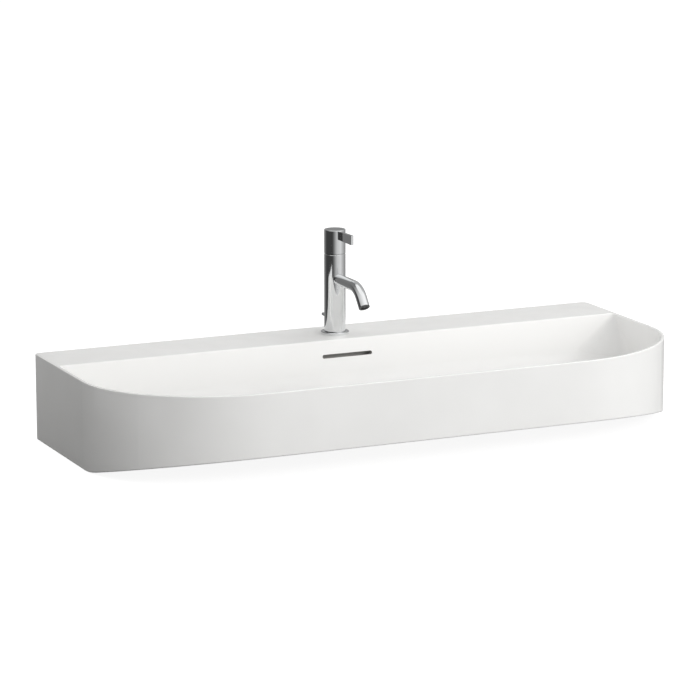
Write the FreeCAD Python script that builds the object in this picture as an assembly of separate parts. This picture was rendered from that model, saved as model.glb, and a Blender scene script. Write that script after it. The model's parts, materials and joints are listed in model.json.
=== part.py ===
import FreeCAD, Part
import math
import os

# D-shaped ceramic washbasin with a tap ledge, a single-lever mixer and a pop-up waste.
# Millimetres. X runs to the right, Y to the rear wall, Z up.
# The origin is the middle of the basin's footprint, on its underside.

V = FreeCAD.Vector

# Cuts run this far past a face, and joined forms this far into one another
overcut = 1.0
overlap = 1.0

# Basin, outside
basin_width = 1000.0
basin_depth = 420.0
basin_height = 140.0
rear_corner_radius = 10.5
side_length = 224.6
front_length = 540.0
end_angle = 43.4
underside_flat = 246.0
underside_rise = 40.3
crease_radius = 150.0
foot_edge_radius = 2.5
rim_edge_radius = 1.6

# Basin, bowl
rim_width = 6.0
ledge_depth = 107.0
ledge_edge_radius = 2.4
ledge_corner_radius = 2.0
bowl_depth = 78.0
side_draft = 2.0
back_draft = 7.0
floor_corner_radius = 95.0
floor_edge_radius = 25.0
dish_drop = 4.0
dish_margin = 10.0
dish_foot_spread = 8.0
dish_foot_ease = 6.0

# Basin, walls of the hollow underneath
skirt_wall = 10.0
bowl_wall = 9.0
floor_thickness = 10.0
ledge_thickness = 12.0

# Basin, wall fixing
wall_hole_radius = 7.0
wall_hole_spacing = 280.0
wall_hole_height = 70.0

# Overflow slot, collector and duct
slot_length = 88.6
slot_height = 6.3
slot_drop = 26.3
slot_lip = 1.5
collector_margin = 6.0
collector_height = 20.0
duct_wall = 6.0
duct_gap = 8.0
duct_width = 18.0
duct_offset = 16.0

# Drain seat
drain_from_rear = 250.0
drain_hole_radius = 23.0
boss_radius = 40.0
boss_drop = 14.0
gallery_height = 5.0
gallery_depth = 6.0
gallery_roof = 4.5

# Waste fitting
flange_radius = 32.0
flange_thickness = 2.5
flange_clearance = 1.0
gasket_thickness = 1.5
tail_radius = 20.95
tail_bore = 17.5
throat_flare = 2.0
throat_depth = 4.0
spigot_radius = 20.0
spigot_length = 11.0
spigot_foot = 1.0
window_width = 12.0
window_count = 4
under_gasket_thickness = 2.0
under_gasket_margin = 4.0
under_washer_thickness = 2.0
under_washer_margin = 3.0
lock_nut_height = 6.0
lock_nut_flats = 52.0
thread_clearance = 0.05
running_clearance = 0.1

# Pivot port of the waste
port_drop = 9.0
ball_radius = 5.0
pivot_reach = 25.0
port_wall = 1.9
port_length = 10.0
port_nut_radius = 8.5
port_nut_length = 9.0
port_nut_cap = 2.0
port_nut_ease = 0.4
port_seat_length = 3.0
pivot_rod_radius = 2.5
rod_swing_room = 1.7
rod_inner_overhang = 7.0
rod_outer_overhang = 10.0

# Plug
plug_seat_gap = 0.35
plug_radius = 27.0
plug_edge = 2.2
plug_crown = 2.0
plug_seal_radius = 24.0
plug_seal_width = 5.0
plug_seal_thickness = 1.8
plug_stem_radius = 4.0
plug_thread_radius = 3.0
plug_thread_length = 9.0
plug_nut_height = 4.0
plug_nut_flats = 11.0
plug_fin_count = 3
plug_fin_thickness = 2.0
plug_fin_height = 14.0
plug_fin_lift = 15.0
plug_fin_gap = 0.4
eye_below = 7.0
eye_clearance = 0.35
eye_flare = 0.75
eye_width = 13.0
eye_thickness = 6.0
eye_above = 8.0

# Tap, place and body
tap_from_rear = 60.0
tap_hole_radius = 17.5
tap_radius = 17.5
tap_body_top = 132.6
tap_flange_radius = 23.25
tap_flange_height = 4.5
tap_flange_bore = 15.5
tap_flange_round = 1.5
tap_spigot_clearance = 0.1
tap_spigot_depth = 3.5
tap_gasket_width = 4.0
tap_gasket_thickness = 1.2
tap_gasket_edge = 1.2

# Tap, fixing below the ledge
stud_radius = 4.0
stud_offset = 10.5
stud_engagement = 12.0
stud_tail = 42.0
horseshoe_radius = 23.0
horseshoe_mouth = 15.2
horseshoe_throat = 6.0
horseshoe_rubber_thickness = 2.0
horseshoe_steel_thickness = 2.0
clamp_nut_flats = 13.0
clamp_nut_height = 6.5

# Tap, water ways
tail_pipe_radius = 4.8
tail_pipe_bore = 3.8
tail_end_radius = 5.0
tail_end_length = 20.0
tail_pipe_offset = 9.5
tail_pipe_drop = 80.0
tail_socket_depth = 15.0
tail_socket_end_gap = 1.0
inlet_bore = 3.0
o_ring_section = 0.74
o_ring_groove = 2.0
o_ring_height = 7.0
mixed_bore = 4.0
mixed_offset = 7.0
spout_way_bore = 5.5

# Spout
spout_radius = 9.1
spout_bore = 6.7
spout_height = 92.3
spout_reach = 72.2
spout_bend_radius = 39.9
spout_bend_angle = 51.6
spout_tip_length = 16.8
spout_socket_depth = 6.0
aerator_radius = 7.4
aerator_bore = 6.0
aerator_length = 8.0
aerator_collar = 0.8
aerator_insert_depth = 1.0
aerator_insert_thickness = 3.0
aerator_hole_radius = 0.55
aerator_hole_pitch = 1.9
aerator_rings = 2
aerator_seal_bore = 5.0
aerator_seal_thickness = 1.5

# Cartridge
chamber_radius = 13.0
chamber_depth = 27.0
chamber_clearance = 0.1
cartridge_gasket_thickness = 1.5
cartridge_wall = 1.7
gasket_port_radius = 2.0
disc_port_radius = 1.6
fixed_disc_thickness = 3.5
moving_disc_thickness = 3.5
moving_disc_gap = 0.4
spindle_plate_thickness = 4.5
spindle_plate_gap = 0.4
spindle_radius = 6.0
cartridge_neck_radius = 8.4
cartridge_nut_height = 5.0
cartridge_nut_notch = 3.0
cartridge_notch_depth = 2.0
spindle_square = 8.0
spindle_square_length = 20.0
spindle_shoulder = 5.0
spindle_end_gap = 0.5
fit_clearance = 0.05

# Handle
groove_height = 1.4
groove_chamfer = 0.45
glide_ring_radius = 16.7
glide_ring_width = 2.6
glide_gap = 0.3
cap_height = 39.2
cap_wall = 3.0
cap_roof = 11.0
cap_edge_radius = 1.0
hub_radius = 8.0
hub_clear = 7.0
blade_thickness = 5.0
blade_root_height = 13.3
blade_end_height = 15.4
blade_reach = 67.8
blade_drop = 1.2
blade_tongue = 2.6
blade_edge_radius = 0.8
grub_radius = 2.5
grub_length = 6.0
grub_drop = 23.0
grub_key_flats = 2.5
grub_key_depth = 2.5

# Pop-up pull
pull_travel = 30.0
pin_radius = 2.75
pin_height = 23.6
pin_reach = 48.0
pin_slot_clearance = 0.35
pin_stub_radius = 1.5
pin_end_radius = 0.8
pull_rod_radius = 2.5
pull_head_radius = 3.1
pull_head_height = 11.0
pull_channel_clearance = 0.2
pull_headroom = 1.0
pull_offset = 10.5
pull_rod_drop = 65.0
clamp_width = 12.0
clamp_height = 10.0
clamp_front_wall = 1.2
clamp_rear_wall = 2.0
clamp_lift = 10.0
strap_thickness = 1.5
strap_foot = 8.0
strap_hole_clearance = 0.7
strap_spare_holes = 3
strap_hole_pitch = 11.0
strap_screw_radius = 2.0
strap_screw_head_radius = 4.5
strap_screw_head_height = 4.0

# Places worked out from the sizes above
rear_y = basin_depth / 2
front_y = -basin_depth / 2
end_turn = math.radians(end_angle)
end_across = (basin_width - front_length) / 2
end_along = basin_depth - side_length
end_share = math.sin(end_turn) + math.cos(end_turn) - 1
end_radius = (end_along * math.cos(end_turn) - end_across * (1 - math.sin(end_turn))) / end_share
shoulder_radius = (end_across * math.sin(end_turn) - end_along * (1 - math.cos(end_turn))) / end_share
ledge_front_y = rear_y - ledge_depth
ledge_top = basin_height
ledge_under = basin_height - ledge_thickness
floor_z = basin_height - bowl_depth
floor_under = floor_z - floor_thickness
crease_y = rear_y - underside_flat
drain_y = rear_y - drain_from_rear
drain_z = floor_z - dish_drop
seat_z = drain_z - flange_thickness - gasket_thickness
boss_z = seat_z - boss_drop
gallery_top = seat_z - gallery_roof
gallery_low = gallery_top - gallery_height
under_gasket_z = boss_z - under_gasket_thickness
under_washer_z = under_gasket_z - under_washer_thickness
lock_nut_z = under_washer_z - lock_nut_height
pivot_y = drain_y + pivot_reach
pivot_z = lock_nut_z - port_drop
tap_y = rear_y - tap_from_rear
tap_seat_z = ledge_top + tap_flange_height
body_top_z = ledge_top + tap_body_top
chamber_floor = body_top_z - chamber_depth
spout_z = ledge_top + spout_height
cap_z = body_top_z + groove_height
cap_top_z = cap_z + cap_height
pull_y = tap_y + pull_offset
pin_z = ledge_top + pin_height
stud_y = tap_y - stud_offset
spout_root_y = tap_y - tap_radius + spout_socket_depth
pull_low = ledge_top - pull_rod_drop
clamp_low = pull_low + clamp_lift
clamp_rear_y = pull_y + pull_rod_radius + clamp_rear_wall
strap_y = clamp_rear_y + strap_thickness / 2
plug_travel = pull_travel * pivot_reach / (strap_y - pivot_y)
plug_under = drain_z + plug_travel + plug_seat_gap + plug_seal_thickness


def cylinder(radius, low, high, x=0.0, y=0.0):
    """Upright cylinder between two heights."""
    return Part.makeCylinder(radius, high - low, V(x, y, low))


def ring(outer, inner, low, high, x=0.0, y=0.0):
    """Upright tube between two heights."""
    return cylinder(outer, low, high, x, y).cut(cylinder(inner, low, high, x, y))


def lying_cylinder(radius, near, far, z, x=0.0):
    """Cylinder along Y between two depths."""
    return Part.makeCylinder(radius, far - near, V(x, near, z), V(0, 1, 0))


def box(x0, x1, y0, y1, z0, z1):
    """Box between two corners."""
    return Part.makeBox(x1 - x0, y1 - y0, z1 - z0, V(x0, y0, z0))


def hexagon(flats, low, high, x=0.0, y=0.0):
    """Upright hexagonal prism, given across its flats."""
    corner = flats / math.sqrt(3)
    points = []
    for step in range(7):
        turn = math.radians(60 * step)
        points.append(V(x + corner * math.cos(turn), y + corner * math.sin(turn), low))
    face = Part.Face(Part.makePolygon(points))
    return face.extrude(V(0, 0, high - low))


def d_outline(half_width, front, rear, corner, end, shoulder, z):
    """Closed D: straight rear and sides, two arcs round each front end, straight front."""
    turn = end_turn
    end_x = half_width - end
    end_y = front + shoulder - (shoulder - end) * math.sin(turn)
    shoulder_x = end_x - (shoulder - end) * math.cos(turn)
    shoulder_y = front + shoulder
    corner = min(corner, rear - end_y - overlap)
    half_turn = math.pi / 2
    diagonal = corner * (1 - math.cos(math.pi / 4))

    def on_end(angle):
        return V(end_x + end * math.cos(angle), end_y - end * math.sin(angle), z)

    def on_shoulder(angle):
        return V(shoulder_x + shoulder * math.cos(angle), shoulder_y - shoulder * math.sin(angle), z)

    def mirrored(point):
        return V(-point.x, point.y, point.z)

    side_rear = V(half_width, rear - corner, z)
    side_front = V(half_width, end_y, z)
    joint = on_end(turn)
    front_end = V(shoulder_x, front, z)
    rear_end = V(half_width - corner, rear, z)
    end_mid = on_end(turn / 2)
    shoulder_mid = on_shoulder((turn + half_turn) / 2)
    corner_mid = V(half_width - diagonal, rear - diagonal, z)
    edges = [
        Part.LineSegment(side_rear, side_front).toShape(),
        Part.Arc(side_front, end_mid, joint).toShape(),
        Part.Arc(joint, shoulder_mid, front_end).toShape(),
        Part.LineSegment(front_end, mirrored(front_end)).toShape(),
        Part.Arc(mirrored(front_end), mirrored(shoulder_mid), mirrored(joint)).toShape(),
        Part.Arc(mirrored(joint), mirrored(end_mid), mirrored(side_front)).toShape(),
        Part.LineSegment(mirrored(side_front), mirrored(side_rear)).toShape(),
        Part.Arc(mirrored(side_rear), mirrored(corner_mid), mirrored(rear_end)).toShape(),
        Part.LineSegment(mirrored(rear_end), rear_end).toShape(),
        Part.Arc(rear_end, corner_mid, side_rear).toShape(),
    ]
    return Part.Wire(edges)


def basin_outline(inset, rear, corner, z):
    """The basin's own D, set in from its outer wall."""
    return d_outline(basin_width / 2 - inset, front_y + inset, rear, corner,
                     end_radius - inset, shoulder_radius - inset, z)


def prism(outline, height):
    """Upright solid on a flat outline."""
    return Part.Face(outline).extrude(V(0, 0, height))


def level_edges(shape, z):
    """Edges that lie flat at one height."""
    found = []
    for edge in shape.Edges:
        bounds = edge.BoundBox
        if abs(bounds.ZMin - z) < 1e-4 and abs(bounds.ZMax - z) < 1e-4:
            found.append(edge)
    return found


def bowl_solid(grow):
    """The bowl's inside, or with grow the same form grown by a wall."""
    floor = floor_z - (floor_thickness if grow else 0.0)
    rim = basin_outline(rim_width - grow, ledge_front_y + grow, ledge_corner_radius + grow, basin_height)
    base = basin_outline(rim_width + side_draft - grow, ledge_front_y - back_draft + grow,
                         floor_corner_radius + grow, floor)
    solid = Part.makeLoft([base, rim], True, True)
    return solid.makeFillet(floor_edge_radius + grow, level_edges(solid, floor))


def floor_dish():
    """Shallow fall of the bowl's floor to the drain seat."""
    inset = rim_width + side_draft + floor_edge_radius + dish_margin
    rear = ledge_front_y - back_draft - floor_edge_radius - dish_margin
    flat = boss_radius
    soft = flat - dish_foot_ease
    wide = basin_outline(inset, rear, floor_corner_radius - floor_edge_radius - dish_margin, floor_z)
    narrow = d_outline(flat + dish_foot_spread, drain_y - flat, drain_y + flat, soft, soft, flat, drain_z)
    return Part.makeLoft([narrow, wide], True, True)


def basin_shell():
    """Outer D with its rising front underside and rounded foot, before the bowl is cut."""
    solid = prism(basin_outline(0.0, rear_y, rear_corner_radius, 0.0), basin_height)
    half = basin_width
    slope = underside_rise / (basin_depth - underside_flat)
    ahead = basin_depth
    points = [V(-half, crease_y, 0), V(-half, crease_y - ahead, slope * ahead),
              V(-half, crease_y - ahead, -ahead), V(-half, crease_y, -ahead), V(-half, crease_y, 0)]
    wedge = Part.Face(Part.makePolygon(points)).extrude(V(2 * half, 0, 0))
    solid = solid.cut(wedge)
    crease = []
    foot = []
    for edge in solid.Edges:
        middle = edge.CenterOfMass
        if abs(middle.y - crease_y) < 1e-4 and abs(middle.z) < 1e-4:
            crease.append(edge)
    solid = solid.makeFillet(crease_radius, crease)
    for edge in solid.Edges:
        middle = edge.valueAt((edge.FirstParameter + edge.LastParameter) / 2)
        across = abs(middle.x) < 1e-3 and front_y + skirt_wall < middle.y < rear_y - skirt_wall
        if edge.BoundBox.ZMax < basin_height / 2 and not across:
            foot.append(edge)
    return solid.makeFillet(foot_edge_radius, foot)


def edges_on(solid, outline):
    """Edges of a solid whose middle lies on an outline."""
    found = []
    for edge in solid.Edges:
        middle = edge.valueAt((edge.FirstParameter + edge.LastParameter) / 2)
        if Part.Vertex(middle).distToShape(outline)[0] < 1e-3:
            found.append(edge)
    return found


def rounded_rim(solid):
    """Round the rim's outer edge and the bowl's mouth."""
    outside = basin_outline(0.0, rear_y, rear_corner_radius, basin_height)
    mouth = basin_outline(rim_width, ledge_front_y, ledge_corner_radius, basin_height)
    solid = solid.makeFillet(rim_edge_radius, edges_on(solid, outside))
    return solid.makeFillet(ledge_edge_radius, edges_on(solid, mouth))


def service_hollow():
    """Open space under the floor and behind the bowl, inside the skirt."""
    outline = basin_outline(skirt_wall, rear_y - skirt_wall, rear_corner_radius, -overcut)
    return prism(outline, ledge_under + overcut).cut(bowl_solid(bowl_wall))


def overflow_solids():
    """Material round the overflow way, and the way itself."""
    slot_z = basin_height - slot_drop
    near = ledge_front_y + bowl_wall - back_draft * slot_drop / bowl_depth
    far = near + duct_gap
    half = slot_length / 2 + collector_margin
    low = slot_z - collector_height / 2
    high = slot_z + collector_height / 2
    left = duct_offset
    right = duct_offset + duct_width
    inside_wall = ledge_front_y + overlap
    collector = box(-half - duct_wall, half + duct_wall, inside_wall, far + duct_wall,
                    low - duct_wall, ledge_under + overlap)
    drop = box(left - duct_wall, right + duct_wall, inside_wall, far + duct_wall, boss_z, low)
    run = box(left - duct_wall, right + duct_wall, drain_y, far + duct_wall, boss_z, floor_under + overlap)
    material = collector.fuse([drop, run])
    end = slot_height / 2
    mouth = ledge_front_y - back_draft - overcut
    middle = slot_length / 2 - end
    slot = box(-middle, middle, mouth, near + overcut, slot_z - end, slot_z + end)
    for side in (-1, 1):
        slot = slot.fuse(lying_cylinder(end, mouth, near + overcut, slot_z, side * middle))
    lip = V(-middle, near - bowl_wall + slot_lip, slot_z - end)
    relief = Part.makePolygon([lip, V(-middle, near + overcut, slot_z - end),
                               V(-middle, near + overcut, low), lip])
    way = slot.fuse([
        Part.Face(relief).extrude(V(2 * middle, 0, 0)),
        box(-half, half, near, far, low, high),
        box(left, right, near, far, gallery_low, low + overcut),
        box(left, right, drain_y, far, gallery_low, gallery_top),
        cylinder(drain_hole_radius + gallery_depth, gallery_low, gallery_top, 0, drain_y),
    ])
    return material, way


def basin_body():
    """The ceramic: bowl, ledge, skirt, drain boss and overflow way in one casting."""
    solid = basin_shell().cut(bowl_solid(0.0)).cut(floor_dish())
    solid = rounded_rim(solid).cut(service_hollow())
    material, way = overflow_solids()
    boss = cylinder(boss_radius, boss_z, floor_under + overlap, 0, drain_y)
    seat = flange_radius + flange_clearance
    solid = solid.fuse([material, boss]).cut(way)
    solid = solid.cut(cylinder(drain_hole_radius, boss_z - overcut, drain_z + overcut, 0, drain_y))
    solid = solid.cut(cylinder(seat, seat_z, drain_z + overcut, 0, drain_y))
    solid = solid.cut(cylinder(tap_hole_radius, ledge_under - overcut, ledge_top + overcut, 0, tap_y))
    wall_near = rear_y - skirt_wall - overcut
    for side in (-1, 1):
        x = side * wall_hole_spacing / 2
        solid = solid.cut(lying_cylinder(wall_hole_radius, wall_near, rear_y + overcut, wall_hole_height, x))
    return solid.removeSplitter()


def waste_body():
    """Flange, threaded tail with overflow windows, pivot port and outlet spigot."""
    under_flange = seat_z + gasket_thickness
    spigot_top = spigot_foot + spigot_length
    socket = ball_radius + running_clearance
    port_end = pivot_y + port_length / 2
    solid = cylinder(flange_radius, under_flange, drain_z, 0, drain_y).fuse([
        cylinder(tail_radius, spigot_top, under_flange, 0, drain_y),
        cylinder(spigot_radius, spigot_foot, spigot_top, 0, drain_y),
        lying_cylinder(socket + port_wall, drain_y + tail_bore, port_end, pivot_z),
    ])
    solid = solid.cut(cylinder(tail_bore, spigot_foot - overcut, drain_z + overcut, 0, drain_y))
    throat_low = V(0, drain_y, drain_z - throat_depth)
    solid = solid.cut(Part.makeCone(tail_bore, tail_bore + throat_flare, throat_depth, throat_low))
    half = window_width / 2
    for step in range(window_count):
        window = box(tail_bore - overcut, tail_radius + overcut, -half, half, gallery_low, gallery_top)
        window.rotate(V(0, 0, 0), V(0, 0, 1), 360.0 * (step + 0.5) / window_count)
        window.translate(V(0, drain_y, 0))
        solid = solid.cut(window)
    solid = solid.cut(lying_cylinder(socket, pivot_y - ball_radius, port_end + overcut, pivot_z))
    return solid.cut(lying_cylinder(pivot_rod_radius + rod_swing_room, drain_y, pivot_y, pivot_z))


def waste_rings():
    """Gaskets, washer and nut that clamp the waste to the drain boss."""
    loose = tail_radius + 2 * thread_clearance
    lock_nut = hexagon(lock_nut_flats, lock_nut_z, under_washer_z, 0, drain_y)
    gasket_radius = lock_nut_flats / 2 + under_gasket_margin
    washer_radius = lock_nut_flats / 2 + under_washer_margin
    gasket_top = seat_z + gasket_thickness
    return {
        "waste_flange_gasket": ring(flange_radius, drain_hole_radius, seat_z, gasket_top, 0, drain_y),
        "waste_under_gasket": ring(gasket_radius, loose, under_gasket_z, boss_z, 0, drain_y),
        "waste_under_washer": ring(washer_radius, loose, under_washer_z, under_gasket_z, 0, drain_y),
        "waste_lock_nut": lock_nut.cut(
            cylinder(tail_radius + thread_clearance, lock_nut_z, under_washer_z, 0, drain_y)),
    }


def pivot_port():
    """Screw cap and seat that hold the pivot ball in the waste's port."""
    port = ball_radius + running_clearance + port_wall
    port_end = pivot_y + port_length / 2
    seat_end = port_end + port_seat_length
    nut_end = seat_end + port_nut_cap
    swing = pivot_rod_radius + rod_swing_room
    nut_start = nut_end - port_nut_length
    nut = lying_cylinder(port_nut_radius, nut_start, nut_end, pivot_z)
    nut = nut.cut(lying_cylinder(port + thread_clearance, nut_start - overcut, seat_end, pivot_z))
    nut = nut.cut(lying_cylinder(swing + port_nut_ease, seat_end - overcut, nut_end + overcut, pivot_z))
    seat = lying_cylinder(port, port_end, seat_end, pivot_z)
    seat = seat.cut(lying_cylinder(swing, port_end, seat_end, pivot_z))
    return {"pivot_port_nut": nut, "pivot_port_seat": seat}


def pivot_lever():
    """Rod and ball that turn the pull's lift into the plug's fall."""
    inner_end = drain_y - rod_inner_overhang
    outer_end = strap_y + rod_outer_overhang
    bore = pivot_rod_radius + fit_clearance
    ball = Part.makeSphere(ball_radius, V(0, pivot_y, pivot_z))
    ball = ball.cut(lying_cylinder(bore, pivot_y - ball_radius, pivot_y + ball_radius, pivot_z))
    rod = lying_cylinder(pivot_rod_radius, inner_end, outer_end, pivot_z)
    return {"pivot_rod": rod, "pivot_ball": ball}


def plug_cap():
    """Domed cover of the plug with a blind threaded hole."""
    low = plug_under
    edge = low + plug_edge
    crown = edge + plug_crown
    sag = plug_crown
    dome = (plug_radius ** 2 + sag ** 2) / (2 * sag)
    half = plug_radius / 2
    half_height = crown - dome + math.sqrt(dome ** 2 - half ** 2)
    foot = V(0, drain_y, low)
    rim_low = V(plug_radius, drain_y, low)
    rim_high = V(plug_radius, drain_y, edge)
    peak = V(0, drain_y, crown)
    profile = Part.Wire([
        Part.LineSegment(foot, rim_low).toShape(),
        Part.LineSegment(rim_low, rim_high).toShape(),
        Part.Arc(rim_high, V(half, drain_y, half_height), peak).toShape(),
        Part.LineSegment(peak, foot).toShape(),
    ])
    solid = Part.Face(profile).revolve(V(0, drain_y, 0), V(0, 0, 1), 360)
    return solid.cut(cylinder(plug_thread_radius + thread_clearance, low, edge, 0, drain_y))


def plug_stem():
    """Stem with guide fins and an eye for the pivot rod."""
    shoulder = plug_under - plug_thread_length
    low = pivot_z - eye_below
    thread_end = plug_under + plug_edge - eye_clearance
    solid = cylinder(plug_stem_radius, pivot_z + eye_above - overlap, shoulder, 0, drain_y)
    solid = solid.fuse(cylinder(plug_thread_radius, shoulder - overlap, thread_end, 0, drain_y))
    eye = box(-eye_width / 2, eye_width / 2, drain_y - eye_thickness / 2, drain_y + eye_thickness / 2,
              low, pivot_z + eye_above)
    fin_low = pivot_z + plug_fin_lift
    fins = []
    for step in range(plug_fin_count):
        fin = box(0, tail_bore - plug_fin_gap, -plug_fin_thickness / 2, plug_fin_thickness / 2,
                  fin_low, fin_low + plug_fin_height)
        fin.rotate(V(0, 0, 0), V(0, 0, 1), 90.0 + 360.0 * step / plug_fin_count)
        fin.translate(V(0, drain_y, 0))
        fins.append(fin)
    solid = solid.fuse([eye] + fins)
    narrow = pivot_rod_radius + eye_clearance
    wide = narrow + eye_flare
    half = eye_thickness / 2
    for side in (-1, 1):
        mouth = Part.makeCone(narrow, wide, half, V(0, drain_y, pivot_z), V(0, side, 0))
        solid = solid.cut(mouth)
    return solid.removeSplitter()


def plug_parts():
    """Cover, seal, stem and lock nut of the plug."""
    nut_low = plug_under - plug_nut_height
    nut = hexagon(plug_nut_flats, nut_low, plug_under, 0, drain_y)
    hole = cylinder(plug_thread_radius + thread_clearance, nut_low, plug_under, 0, drain_y)
    return {
        "plug_cap": plug_cap(),
        "plug_seal": ring(plug_seal_radius, plug_seal_radius - plug_seal_width,
                          plug_under - plug_seal_thickness, plug_under, 0, drain_y),
        "plug_stem": plug_stem(),
        "plug_stem_nut": nut.cut(hole),
    }


def tap_body():
    """Brass column with cartridge chamber, inlets, spout way and pull-rod channel."""
    foot = tap_seat_z - tap_spigot_depth
    solid = cylinder(tap_radius, tap_seat_z, body_top_z, 0, tap_y)
    solid = solid.makeChamfer(groove_chamfer, level_edges(solid, body_top_z))
    solid = solid.fuse(cylinder(tap_flange_bore - tap_spigot_clearance, foot, tap_seat_z, 0, tap_y))
    cuts = [cylinder(chamber_radius, chamber_floor, body_top_z + overcut, 0, tap_y)]
    socket = tail_pipe_radius + fit_clearance
    groove = socket + 2 * o_ring_section + fit_clearance
    groove_z = foot + o_ring_height
    for side in (-1, 1):
        x = side * tail_pipe_offset
        cuts.append(cylinder(socket, foot - overcut, foot + tail_socket_depth, x, tap_y))
        cuts.append(cylinder(groove, groove_z, groove_z + o_ring_groove, x, tap_y))
        cuts.append(cylinder(inlet_bore, foot, chamber_floor + overcut, x, tap_y))
    cuts.append(cylinder(stud_radius + thread_clearance, foot - overcut, foot + stud_engagement, 0, stud_y))
    mixed_y = tap_y - mixed_offset
    cuts.append(cylinder(mixed_bore, spout_z, chamber_floor + overcut, 0, mixed_y))
    cuts.append(lying_cylinder(spout_way_bore, tap_y - tap_radius, mixed_y + mixed_bore / 2, spout_z))
    cuts.append(lying_cylinder(spout_radius + fit_clearance, tap_y - 2 * tap_radius, spout_root_y, spout_z))
    channel = pull_head_radius + pull_channel_clearance
    channel_top = pin_z + pull_head_height / 2 + pull_travel + pull_headroom
    cuts.append(cylinder(channel, foot - overcut, channel_top, 0, pull_y))
    half = pin_radius + pin_slot_clearance
    rear = tap_y + 2 * tap_radius
    cuts.append(box(-half, half, pull_y, rear, pin_z, pin_z + pull_travel))
    cuts.append(lying_cylinder(half, pull_y, rear, pin_z))
    cuts.append(lying_cylinder(half, pull_y, rear, pin_z + pull_travel))
    for cut in cuts:
        solid = solid.cut(cut)
    return solid


def tap_base():
    """Base flange, its gasket and the fixing that clamps the tap to the ledge."""
    outer = tap_flange_radius - tap_gasket_edge
    inner = outer - tap_gasket_width
    gasket_top = ledge_top + tap_gasket_thickness
    flange = ring(tap_flange_radius, tap_flange_bore, ledge_top, tap_seat_z, 0, tap_y)
    rim = []
    for edge in level_edges(flange, tap_seat_z):
        if edge.Curve.Radius > (tap_flange_bore + tap_flange_radius) / 2:
            rim.append(edge)
    flange = flange.makeFillet(tap_flange_round, rim)
    recess = ring(outer + fit_clearance, inner - fit_clearance, ledge_top - overcut, gasket_top, 0, tap_y)
    flange = flange.cut(recess)
    rubber_z = ledge_under - horseshoe_rubber_thickness
    steel_z = rubber_z - horseshoe_steel_thickness
    nut_z = steel_z - clamp_nut_height
    stud_top = tap_seat_z - tap_spigot_depth + stud_engagement
    nut = hexagon(clamp_nut_flats, nut_z, steel_z, 0, stud_y)
    return {
        "tap_base_flange": flange,
        "tap_base_gasket": ring(outer, inner, ledge_top, gasket_top, 0, tap_y),
        "tap_stud": cylinder(stud_radius, ledge_top - stud_tail, stud_top, 0, stud_y),
        "tap_horseshoe_rubber": horseshoe(rubber_z, ledge_under),
        "tap_horseshoe_plate": horseshoe(steel_z, rubber_z),
        "tap_clamp_nut": nut.cut(cylinder(stud_radius + thread_clearance, nut_z, steel_z, 0, stud_y)),
    }


def horseshoe(low, high):
    """Clamping washer, open to the rear for the pipes and the pull rod."""
    disc = cylinder(horseshoe_radius, low, high, 0, tap_y)
    throat = tap_y - horseshoe_throat
    mouth = box(-horseshoe_mouth, horseshoe_mouth, throat, tap_y + 2 * horseshoe_radius, low, high)
    return disc.cut(mouth).cut(cylinder(stud_radius + 2 * running_clearance, low, high, 0, stud_y))


def supply_tail(side):
    """Copper inlet pipe with a plain end for a coupling."""
    low = ledge_top - tail_pipe_drop
    high = tap_seat_z - tap_spigot_depth + tail_socket_depth - tail_socket_end_gap
    x = side * tail_pipe_offset
    solid = cylinder(tail_pipe_radius, low, high, x, tap_y)
    solid = solid.fuse(cylinder(tail_end_radius, low, low + tail_end_length, x, tap_y))
    return solid.cut(cylinder(tail_pipe_bore, low - overcut, high + overcut, x, tap_y))


def supply_seals():
    """O-rings round the inlet pipes, inside the tap's foot."""
    seals = []
    height = tap_seat_z - tap_spigot_depth + o_ring_height + o_ring_groove / 2
    for side in (-1, 1):
        middle = tail_pipe_radius + fit_clearance + o_ring_section
        seals.append(Part.makeTorus(middle, o_ring_section, V(side * tail_pipe_offset, tap_y, height)))
    return Part.makeCompound(seals)


def spout_path():
    """Centre line of the spout, from its socket to its tip, and the tip's direction."""
    turn = math.radians(spout_bend_angle)
    bend_y = tap_y - spout_reach
    middle_z = spout_z - spout_bend_radius
    points = []
    for angle in (0.0, turn / 2, turn):
        points.append(V(0, bend_y - spout_bend_radius * math.sin(angle),
                        middle_z + spout_bend_radius * math.cos(angle)))
    along = V(0, -math.cos(turn), -math.sin(turn))
    tip = points[2] + along * spout_tip_length
    edges = [
        Part.LineSegment(V(0, spout_root_y, spout_z), points[0]).toShape(),
        Part.Arc(points[0], points[1], points[2]).toShape(),
        Part.LineSegment(points[2], tip).toShape(),
    ]
    return Part.Wire(edges), tip, along


def pipe(path, radius):
    """Round bar along a path that starts along Y."""
    start = path.Vertexes[0].Point
    circle = Part.Wire([Part.makeCircle(radius, start, V(0, 1, 0))])
    return path.makePipeShell([circle], True, False)


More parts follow.
